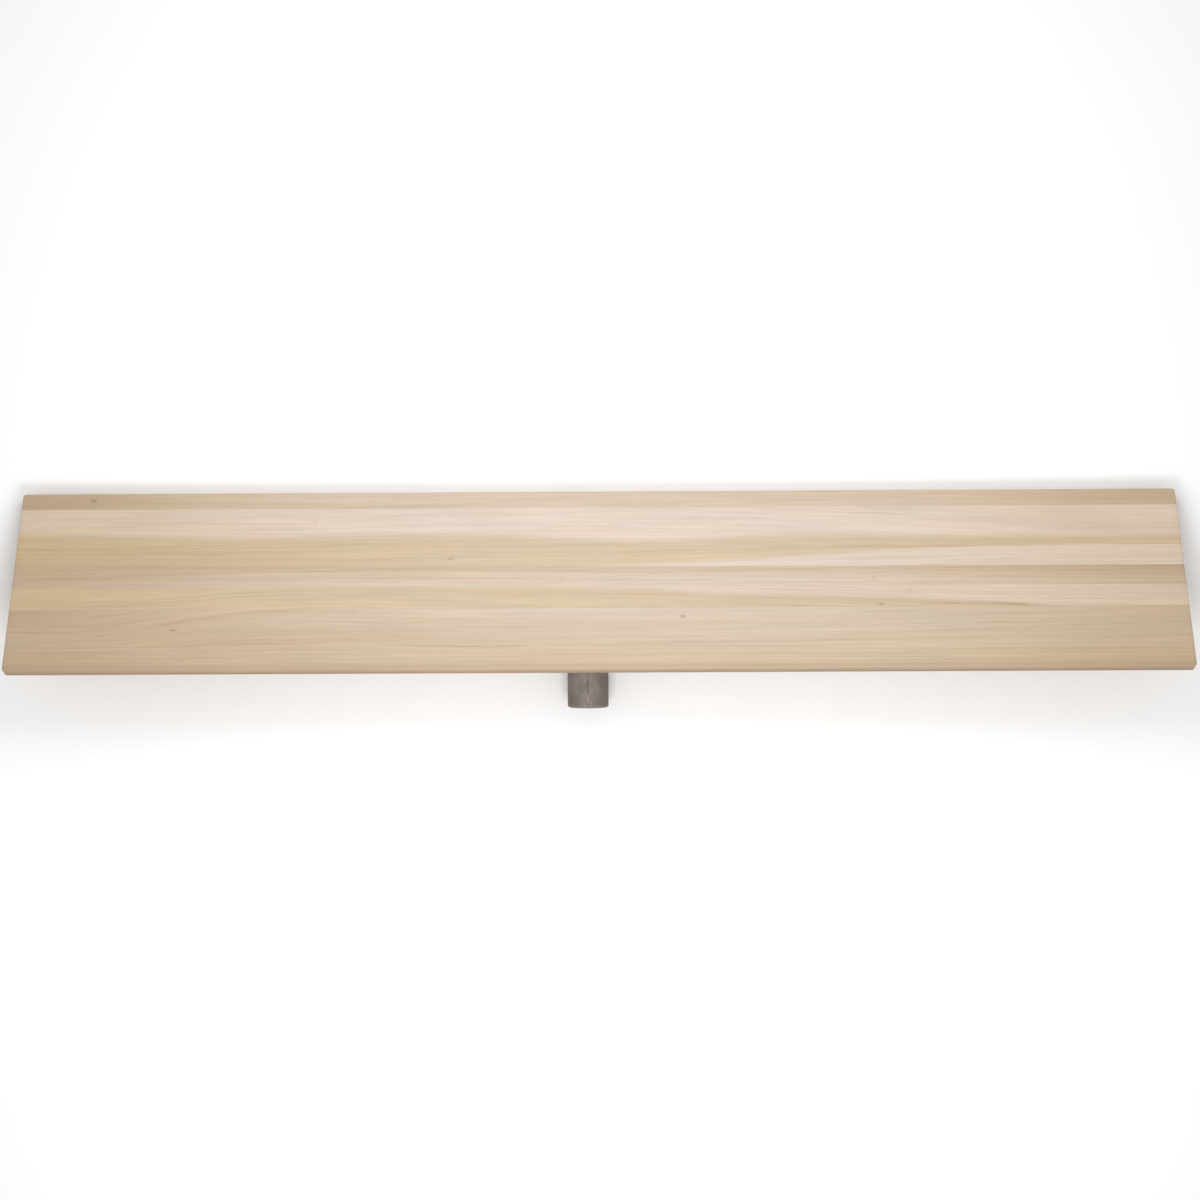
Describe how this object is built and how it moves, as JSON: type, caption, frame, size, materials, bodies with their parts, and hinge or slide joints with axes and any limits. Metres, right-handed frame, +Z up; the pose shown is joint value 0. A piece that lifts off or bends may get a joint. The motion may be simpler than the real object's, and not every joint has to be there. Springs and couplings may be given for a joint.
{
  "type": "wood bull float",
  "caption": "Long laminated wood float blade for smoothing concrete, with a cast clevis bracket on its back and a tilting threaded socket for a long handle.",
  "frame": {"origin": "under the middle of the whole object's box, on the surface it lies on: the float lies on its back, on the blade's far back edge and the socket's rim", "axes": "+X along the blade, +Z up, -Y the way the handle socket points; the working face looks up and is turned 24.293 degrees from +Z towards +Y"},
  "size_m": [1.2192, 0.2288, 0.0984],
  "materials": {
    "poplar_sapwood": "planed, unfinished",
    "poplar_heartwood": "planed, unfinished",
    "poplar_tan": "planed, unfinished",
    "cast_iron": "as cast, sand texture",
    "zinc_steel": "zinc plated"
  },
  "bodies": {
    "blade": {"stave_1": "poplar_tan", "stave_2": "poplar_sapwood", "stave_3": "poplar_heartwood", "stave_4": "poplar_sapwood", "stave_5": "poplar_heartwood", "stave_6": "poplar_sapwood", "stave_7": "poplar_tan", "bracket_base": "cast_iron", "pivot_bolt": "zinc_steel", "pivot_nut": "zinc_steel", "head_washer": "zinc_steel", "nut_washer": "zinc_steel", "lock_washer": "zinc_steel", "wood_screw_1": "zinc_steel", "wood_screw_2": "zinc_steel", "wood_screw_3": "zinc_steel", "wood_screw_4": "zinc_steel", "wood_screw_5": "zinc_steel", "wood_screw_6": "zinc_steel", "wood_screw_7": "zinc_steel", "wood_screw_8": "zinc_steel"},
    "socket": {"handle_socket": "cast_iron"}
  },
  "joints": [
    {"name": "socket_tilt", "type": "hinge", "parent": "blade", "child": "socket", "pos_m": [-0.011, -0.00421, 0.02294], "axis": [1, 0, 0], "range_deg": [-12, 65]}
  ]
}
